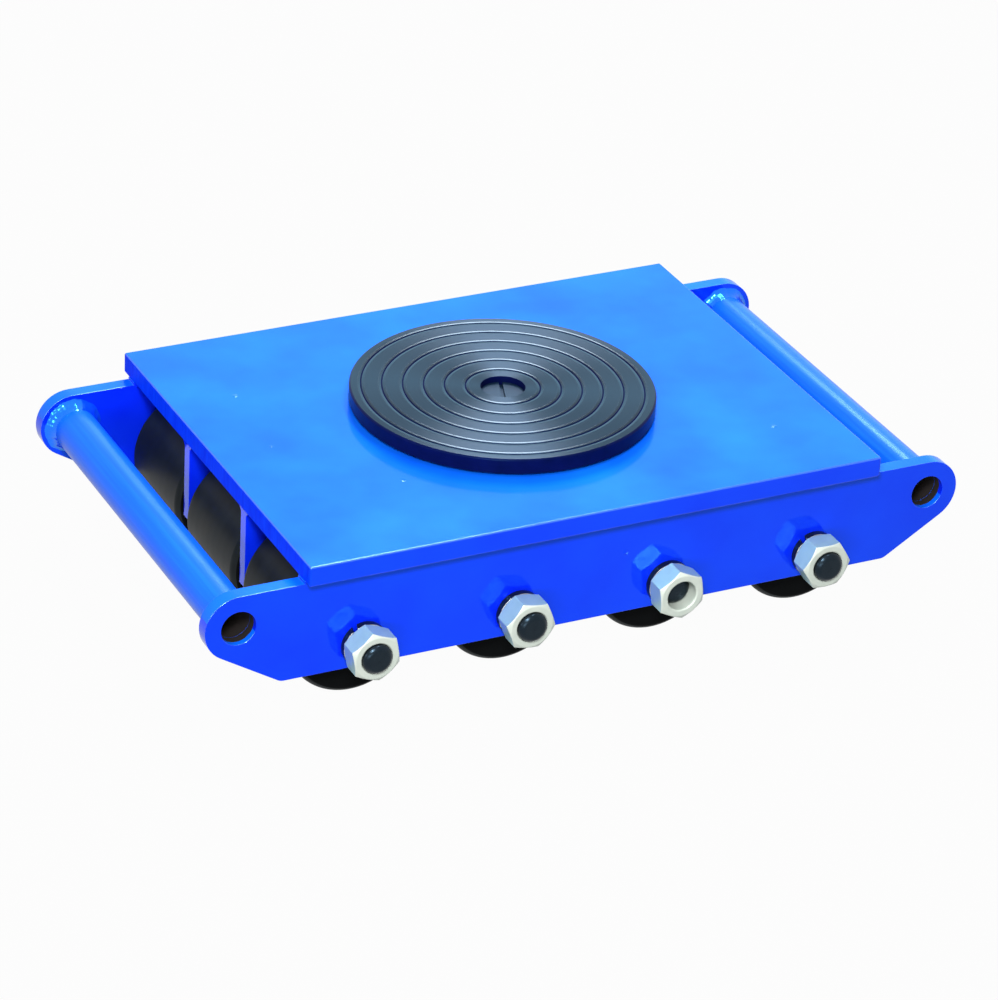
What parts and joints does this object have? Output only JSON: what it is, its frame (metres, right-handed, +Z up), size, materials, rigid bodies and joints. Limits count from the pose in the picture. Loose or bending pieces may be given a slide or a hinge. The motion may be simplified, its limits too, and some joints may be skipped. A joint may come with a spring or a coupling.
{
  "type": "machine skate",
  "caption": "Machine skate: a welded steel deck and side plates on rows of free-turning rollers, with a handle tube across each end and a turning grooved load disc on top.",
  "frame": {"origin": "on the floor under the middle of the skate, where the rollers rest", "axes": "+X along the skate, from handle tube to handle tube; +Y along the axles, away from the front side plate; +Z up"},
  "size_m": [0.5298, 0.3394, 0.1208],
  "materials": {
    "blue_enamel": "gloss enamel",
    "black_nylon": "smooth turned nylon, black",
    "zinc_plate": "bright zinc plate",
    "dark_steel": "blackened steel",
    "bearing_steel": "ground",
    "disc_slate": "satin dark slate",
    "screw_steel": "turned steel"
  },
  "bodies": {
    "chassis": {"deck_plate": "blue_enamel", "front_side_plate": "blue_enamel", "back_side_plate": "blue_enamel", "front_divider": "blue_enamel", "back_divider": "blue_enamel", "left_handle_tube": "blue_enamel", "right_handle_tube": "blue_enamel", "tube_welds": "blue_enamel", "deck_welds": "blue_enamel", "axle_1": "dark_steel", "axle_2": "dark_steel", "axle_3": "dark_steel", "axle_4": "dark_steel", "axle_nuts": "zinc_plate", "spring_washers": "dark_steel", "bearing_inner_rings": "bearing_steel", "spacer_washers": "dark_steel", "spacer_tubes": "dark_steel", "pivot_screw": "screw_steel", "pivot_washer": "zinc_plate", "pivot_nut": "zinc_plate", "thrust_lower_race": "bearing_steel"},
    "turntable": {"turntable_disc": "disc_slate", "thrust_upper_race": "bearing_steel"},
    "thrust_cage": {"thrust_cage": "bearing_steel", "thrust_balls": "bearing_steel"},
    "roller_1_front": {"roller_1_front": "black_nylon", "outer_rings_1_front": "bearing_steel"},
    "roller_1_middle": {"roller_1_middle": "black_nylon", "outer_rings_1_middle": "bearing_steel"},
    "roller_1_back": {"roller_1_back": "black_nylon", "outer_rings_1_back": "bearing_steel"},
    "roller_2_front": {"roller_2_front": "black_nylon", "outer_rings_2_front": "bearing_steel"},
    "roller_2_middle": {"roller_2_middle": "black_nylon", "outer_rings_2_middle": "bearing_steel"},
    "roller_2_back": {"roller_2_back": "black_nylon", "outer_rings_2_back": "bearing_steel"},
    "roller_3_front": {"roller_3_front": "black_nylon", "outer_rings_3_front": "bearing_steel"},
    "roller_3_middle": {"roller_3_middle": "black_nylon", "outer_rings_3_middle": "bearing_steel"},
    "roller_3_back": {"roller_3_back": "black_nylon", "outer_rings_3_back": "bearing_steel"},
    "roller_4_front": {"roller_4_front": "black_nylon", "outer_rings_4_front": "bearing_steel"},
    "roller_4_middle": {"roller_4_middle": "black_nylon", "outer_rings_4_middle": "bearing_steel"},
    "roller_4_back": {"roller_4_back": "black_nylon", "outer_rings_4_back": "bearing_steel"}
  },
  "joints": [
    {"name": "turntable_turn", "type": "hinge", "parent": "chassis", "child": "turntable", "pos_m": [0.003, 0, 0.1154], "axis": [0, 0, 1], "continuous": true},
    {"name": "thrust_cage_turn", "type": "hinge", "parent": "chassis", "child": "thrust_cage", "pos_m": [0.003, 0, 0.10915], "axis": [0, 0, 1], "continuous": true},
    {"name": "roller_1_front_spin", "type": "hinge", "parent": "chassis", "child": "roller_1_front", "pos_m": [-0.15915, -0.0927, 0.043], "axis": [0, 1, 0], "continuous": true},
    {"name": "roller_1_middle_spin", "type": "hinge", "parent": "chassis", "child": "roller_1_middle", "pos_m": [-0.15915, 0, 0.043], "axis": [0, 1, 0], "continuous": true},
    {"name": "roller_1_back_spin", "type": "hinge", "parent": "chassis", "child": "roller_1_back", "pos_m": [-0.15915, 0.0927, 0.043], "axis": [0, 1, 0], "continuous": true},
    {"name": "roller_2_front_spin", "type": "hinge", "parent": "chassis", "child": "roller_2_front", "pos_m": [-0.05305, -0.0927, 0.043], "axis": [0, 1, 0], "continuous": true},
    {"name": "roller_2_middle_spin", "type": "hinge", "parent": "chassis", "child": "roller_2_middle", "pos_m": [-0.05305, 0, 0.043], "axis": [0, 1, 0], "continuous": true},
    {"name": "roller_2_back_spin", "type": "hinge", "parent": "chassis", "child": "roller_2_back", "pos_m": [-0.05305, 0.0927, 0.043], "axis": [0, 1, 0], "continuous": true},
    {"name": "roller_3_front_spin", "type": "hinge", "parent": "chassis", "child": "roller_3_front", "pos_m": [0.05305, -0.0927, 0.043], "axis": [0, 1, 0], "continuous": true},
    {"name": "roller_3_middle_spin", "type": "hinge", "parent": "chassis", "child": "roller_3_middle", "pos_m": [0.05305, 0, 0.043], "axis": [0, 1, 0], "continuous": true},
    {"name": "roller_3_back_spin", "type": "hinge", "parent": "chassis", "child": "roller_3_back", "pos_m": [0.05305, 0.0927, 0.043], "axis": [0, 1, 0], "continuous": true},
    {"name": "roller_4_front_spin", "type": "hinge", "parent": "chassis", "child": "roller_4_front", "pos_m": [0.15915, -0.0927, 0.043], "axis": [0, 1, 0], "continuous": true},
    {"name": "roller_4_middle_spin", "type": "hinge", "parent": "chassis", "child": "roller_4_middle", "pos_m": [0.15915, 0, 0.043], "axis": [0, 1, 0], "continuous": true},
    {"name": "roller_4_back_spin", "type": "hinge", "parent": "chassis", "child": "roller_4_back", "pos_m": [0.15915, 0.0927, 0.043], "axis": [0, 1, 0], "continuous": true}
  ],
  "couplings": [
    {"joint": "thrust_cage_turn", "follows": "turntable_turn", "ratio": 0.5}
  ]
}
